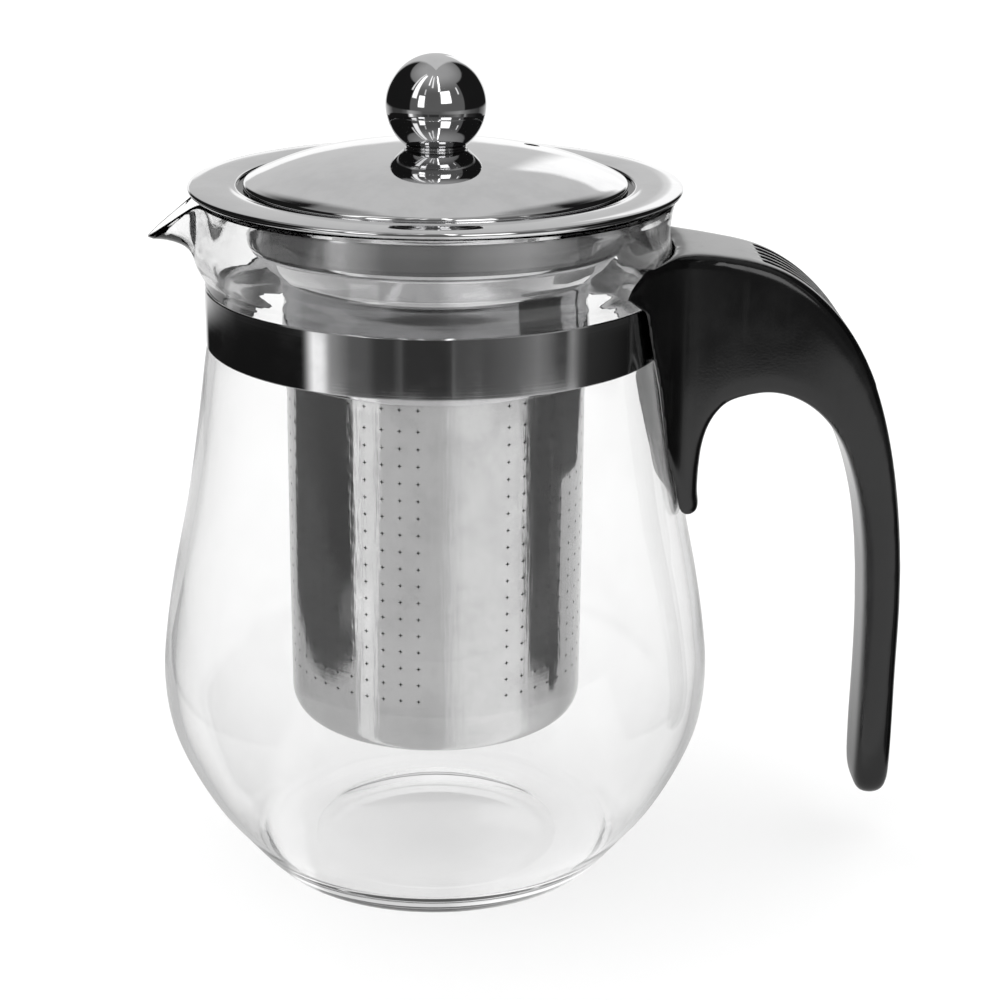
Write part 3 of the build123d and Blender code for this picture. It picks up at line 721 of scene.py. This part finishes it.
def dress_hardware():
    for name, material in (
        ("clamp_screw", FASTENER_STEEL),
        ("threaded_insert", TURNED_BRASS),
        ("knob_screw", FASTENER_STEEL),
        ("knob_washer", FASTENER_STEEL),
        ("knob_nut", FASTENER_STEEL),
    ):
        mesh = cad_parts[name].data
        mesh.materials.clear()
        mesh.materials.append(material)


# ---------------------------------------------------------------- studio

def box_mask(tree, azimuth, elevation, centre_az, half_az, centre_el, half_el, soft=1.5):
    """1 inside a rectangle of directions given in degrees, 0 outside, with soft edges."""
    across = maths(tree, "ABSOLUTE", maths(tree, "SUBTRACT", azimuth, centre_az))
    upright = maths(tree, "ABSOLUTE", maths(tree, "SUBTRACT", elevation, centre_el))
    across = remap(tree, across, half_az - soft, half_az + soft, 1.0, 0.0)
    upright = remap(tree, upright, half_el - soft, half_el + soft, 1.0, 0.0)
    return maths(tree, "MULTIPLY", across, upright)


def blend_value(tree, base, mask, level):
    """base where mask is 0, level where it is 1."""
    mix = node(tree, "ShaderNodeMix", data_type="FLOAT")
    tree.links.new(mask, mix.inputs["Factor"])
    for socket, value in ((mix.inputs["A"], base), (mix.inputs["B"], level)):
        if isinstance(value, (int, float)):
            socket.default_value = value
        else:
            tree.links.new(value, socket)
    return mix.outputs["Result"]


def round_the_pot(tree, azimuth, stops):
    """A level that depends on azimuth, from (degrees, level) stops; levels run from 0 to 1.25."""
    ramp = node(tree, "ShaderNodeValToRGB")
    place = maths(tree, "DIVIDE", maths(tree, "ADD", azimuth, 180.0), 360.0)
    tree.links.new(place, ramp.inputs["Fac"])
    elements = ramp.color_ramp.elements
    elements.remove(elements[1])
    for index, (degrees, level) in enumerate(stops):
        element = elements[0] if index == 0 else elements.new((degrees + 180.0) / 360.0)
        shade = level / 1.25
        element.color = (shade, shade, shade, 1.0)
    return maths(tree, "MULTIPLY", ramp.outputs["Color"], 1.25)


def azimuth_of(tree, x, y):
    """Degrees from the front, positive to the right."""
    return maths(tree, "MULTIPLY", maths(tree, "ARCTAN2", x, maths(tree, "MULTIPLY", y, -1.0)), 180 / math.pi)


BAND_LEVELS = (
    (-180, 1.0), (-165, 1.0), (-163, 0.01), (-68, 0.01), (-66, 0.30), (-62, 1.25), (-57, 1.2), (-53, 0.36),
    (-47, 0.22), (-42, 0.12), (-34, 0.11), (-29, 0.05), (-21, 0.045), (-17, 0.10), (-15, 0.04), (4, 0.037),
    (7, 0.05), (8.4, 0.13), (10, 0.085), (25, 0.088), (40, 0.14), (51, 0.23), (56, 0.17), (62, 0.07),
    (66, 0.056), (70, 0.32), (75, 0.10), (80, 0.034), (110, 0.01), (162, 0.004), (165, 1.0),
)
COLLAR_LEVELS = (
    (-180, 0.9), (-164, 0.75), (-141, 0.42), (-127, 0.2), (-115, 0.055), (-87, 0.055), (-71, 0.13),
    (-64, 0.42), (-57, 0.45), (-43, 0.28), (-30, 0.115), (9, 0.115), (22, 0.19), (35, 0.25), (55, 0.35),
    (70, 0.21), (86, 0.1), (113, 0.055), (138, 0.30), (160, 0.7),
)
# Painted light: levels by azimuth for the floor's glow, which reflections see as a lit table.
TABLE_GLOW_LEVELS = (
    (-180, 1.0), (-150, 0.8), (-120, 0.55), (-57, 0.6), (-53, 1.05), (-44, 1.05), (-41, 0.66), (4, 0.66),
    (10, 0.82), (20, 1.02), (60, 1.08), (68, 0.8), (104, 0.5), (118, 0.6), (150, 0.9), (180, 1.0),
)
SOFT_BOXES = (
    (24.0, 12.0, 23.0, 13.0, 2.6),
    (-34.0, 7.0, 13.0, 12.0, 2.2),
    (-53.0, 6.0, 44.0, 26.0, 1.6),
    (-66.0, 2.5, 52.0, 20.0, 1.0),
    (-22.0, 2.2, 62.0, 12.0, 1.6),
    (-10.0, 2.0, 58.0, 13.0, 1.3),
    (-28.0, 1.4, 34.0, 6.0, 0.9),
    (9.0, 2.0, 55.0, 18.0, 5.0),
    (58.0, 1.5, 32.0, 7.0, 1.4),
)


def make_world():
    """White all round, with a dark room and soft boxes that only reflections see."""
    world = bpy.data.worlds.new("studio")
    bpy.context.scene.world = world
    world.use_nodes = True
    world.cycles.sampling_method = "NONE"
    tree = world.node_tree
    background = tree.nodes["Background"]
    direction = node(tree, "ShaderNodeTexCoord").outputs["Generated"]
    parts = node(tree, "ShaderNodeSeparateXYZ")
    tree.links.new(direction, parts.inputs[0])
    x, y, z = parts.outputs
    azimuth = azimuth_of(tree, x, y)
    elevation = maths(tree, "MULTIPLY", maths(tree, "ARCSINE", z), 180 / math.pi)
    off_front = maths(tree, "ABSOLUTE", azimuth)

    level = blend_value(
        tree,
        round_the_pot(tree, azimuth, BAND_LEVELS),
        remap(tree, elevation, -14.6, -13.6, 0.0, 1.0),
        round_the_pot(tree, azimuth, COLLAR_LEVELS),
    )
    room = blend_value(tree, 0.13, remap(tree, elevation, 30.0, 75.0, 0.0, 1.0), 0.42)
    for centre_az, half_az in ((-112.0, 51.0), (112.0, 44.0)):
        flag = box_mask(tree, azimuth, elevation, centre_az, half_az, 0.0, 46.0, soft=2.0)
        room = blend_value(tree, room, flag, 0.012)
    level = blend_value(tree, level, remap(tree, elevation, -9.0, -6.0, 0.0, 1.0), room)
    for centre_az, half_az, centre_el, half_el, brightness in SOFT_BOXES:
        mask = box_mask(tree, azimuth, elevation, centre_az, half_az, centre_el, half_el)
        level = blend_value(tree, level, mask, brightness)
    behind = remap(tree, off_front, 150.0, 160.0, 0.0, 1.0)
    behind = maths(tree, "MULTIPLY", behind, remap(tree, elevation, -2.0, 0.0, 0.0, 1.0))
    backdrop = blend_value(tree, 1.15, remap(tree, elevation, 6.5, 8.5, 0.0, 1.0), 0.66)
    backdrop = blend_value(tree, backdrop, box_mask(tree, azimuth, elevation, 166.0, 7.0, 16.0, 9.0), 1.25)
    level = blend_value(tree, level, behind, backdrop)

    path = node(tree, "ShaderNodeLightPath").outputs
    off_two = maths(tree, "ABSOLUTE", maths(tree, "SUBTRACT", path["Transmission Depth"], 2.0))
    inside_glass = maths(tree, "SUBTRACT", 1.0, off_two, clamp=True)
    level = blend_value(tree, level, maths(tree, "MULTIPLY", inside_glass, 0.85), 0.8)
    bounced_twice = maths(tree, "GREATER_THAN", path["Glossy Depth"], 1.5)
    through_glass = maths(tree, "GREATER_THAN", path["Transmission Depth"], 1.5)
    left_side = box_mask(tree, azimuth, elevation, -112.0, 51.0, 40.0, 46.0)
    lifted = maths(tree, "MULTIPLY", maths(tree, "MAXIMUM", bounced_twice, left_side), through_glass)
    level = blend_value(tree, level, lifted, 0.72)
    reflected = maths(tree, "GREATER_THAN", path["Glossy Depth"], 0.5)
    final = blend_value(tree, 1.2, reflected, level)
    tree.links.new(final, background.inputs["Color"])


def make_floor():
    """A pale floor; reflections see it as a lit table that ends in front of the pot and beside it, painted as
    a glow whose level by azimuth stands in for the table's light and shade.
    """
    bm = bmesh.new()
    bmesh.ops.create_circle(bm, cap_ends=True, segments=64, radius=12.0)
    mesh = bpy.data.meshes.new("floor")
    bm.to_mesh(mesh)
    bm.free()
    material = bpy.data.materials.new("pale_floor")
    material.use_nodes = True
    tree = material.node_tree
    shader = tree.nodes["Principled BSDF"]
    shader.inputs["Base Color"].default_value = (0.99, 0.99, 0.99, 1.0)
    shader.inputs["Roughness"].default_value = 0.9
    shader.inputs["Specular IOR Level"].default_value = 0.0
    parts = node(tree, "ShaderNodeSeparateXYZ")
    tree.links.new(node(tree, "ShaderNodeTexCoord").outputs["Object"], parts.inputs[0])
    x, y = parts.outputs[0], parts.outputs[1]
    azimuth = azimuth_of(tree, x, y)
    radius = radius_of(tree, x, y)
    on_table = remap(tree, radius, 0.396, 0.404, 1.0, 0.0)
    behind = remap(tree, maths(tree, "ABSOLUTE", azimuth), 150.0, 160.0, 0.0, 1.0)
    on_table = maths(tree, "MAXIMUM", on_table, behind)
    sideways = remap(tree, maths(tree, "ABSOLUTE", x), 0.120, 0.130, 0.0, 1.0)
    left = maths(tree, "ABSOLUTE", maths(tree, "ADD", azimuth, 94.0))
    right = maths(tree, "ABSOLUTE", maths(tree, "SUBTRACT", azimuth, 87.0))
    flag_left = remap(tree, left, 37.0, 39.0, 1.0, 0.0)
    flag_right = remap(tree, right, 16.0, 18.5, 1.0, 0.0)
    flagged = maths(tree, "ADD", flag_left, flag_right)
    table = maths(tree, "SUBTRACT", 1.0, maths(tree, "MULTIPLY", sideways, flagged))
    table = maths(tree, "MULTIPLY", table, on_table)
    clear = node(tree, "ShaderNodeBsdfTransparent")
    # Painted light: for reflected rays the floor glows at these levels instead of being lit.
    glow = node(tree, "ShaderNodeEmission")
    tree.links.new(round_the_pot(tree, azimuth, TABLE_GLOW_LEVELS), glow.inputs["Color"])
    lit = node(tree, "ShaderNodeMixShader")
    tree.links.new(table, lit.inputs["Fac"])
    tree.links.new(clear.outputs[0], lit.inputs[1])
    tree.links.new(glow.outputs[0], lit.inputs[2])
    mix = node(tree, "ShaderNodeMixShader")
    depth = node(tree, "ShaderNodeLightPath").outputs["Glossy Depth"]
    tree.links.new(maths(tree, "GREATER_THAN", depth, 0.5), mix.inputs["Fac"])
    tree.links.new(shader.outputs[0], mix.inputs[1])
    tree.links.new(lit.outputs[0], mix.inputs[2])
    tree.links.new(mix.outputs[0], tree.nodes["Material Output"].inputs["Surface"])
    mesh.materials.append(material)
    floor = bpy.data.objects.new("floor", mesh)
    bpy.context.scene.collection.objects.link(floor)


def make_camera():
    """A short telephoto from the front, a little above the lid."""
    data = bpy.data.cameras.new("camera")
    data.sensor_width = 36.0
    data.lens = 82.3
    camera = bpy.data.objects.new("camera", data)
    bpy.context.scene.collection.objects.link(camera)
    turn = Matrix.Rotation(math.radians(-1.694), 4, "Z")
    tilt = Matrix.Rotation(math.radians(90.0 - 18.79), 4, "X")
    roll = Matrix.Rotation(math.radians(0.548), 4, "Z")
    camera.matrix_world = Matrix.Translation((0.0, -0.4271, 0.2182)) @ turn @ tilt @ roll
    bpy.context.scene.camera = camera


glass = make_glass()
glass.visible_shadow = False
glass.visible_diffuse = False
make_band()
make_handle()
make_infuser_rim()
make_basket_wall()
make_basket_bottom()
make_lid()
make_locating_ring()
make_knob_collar()
make_ball_top()
make_ball_bottom()
dress_hardware()
make_world()
make_floor()
make_camera()
bpy.context.scene.view_settings.view_transform = "Standard"
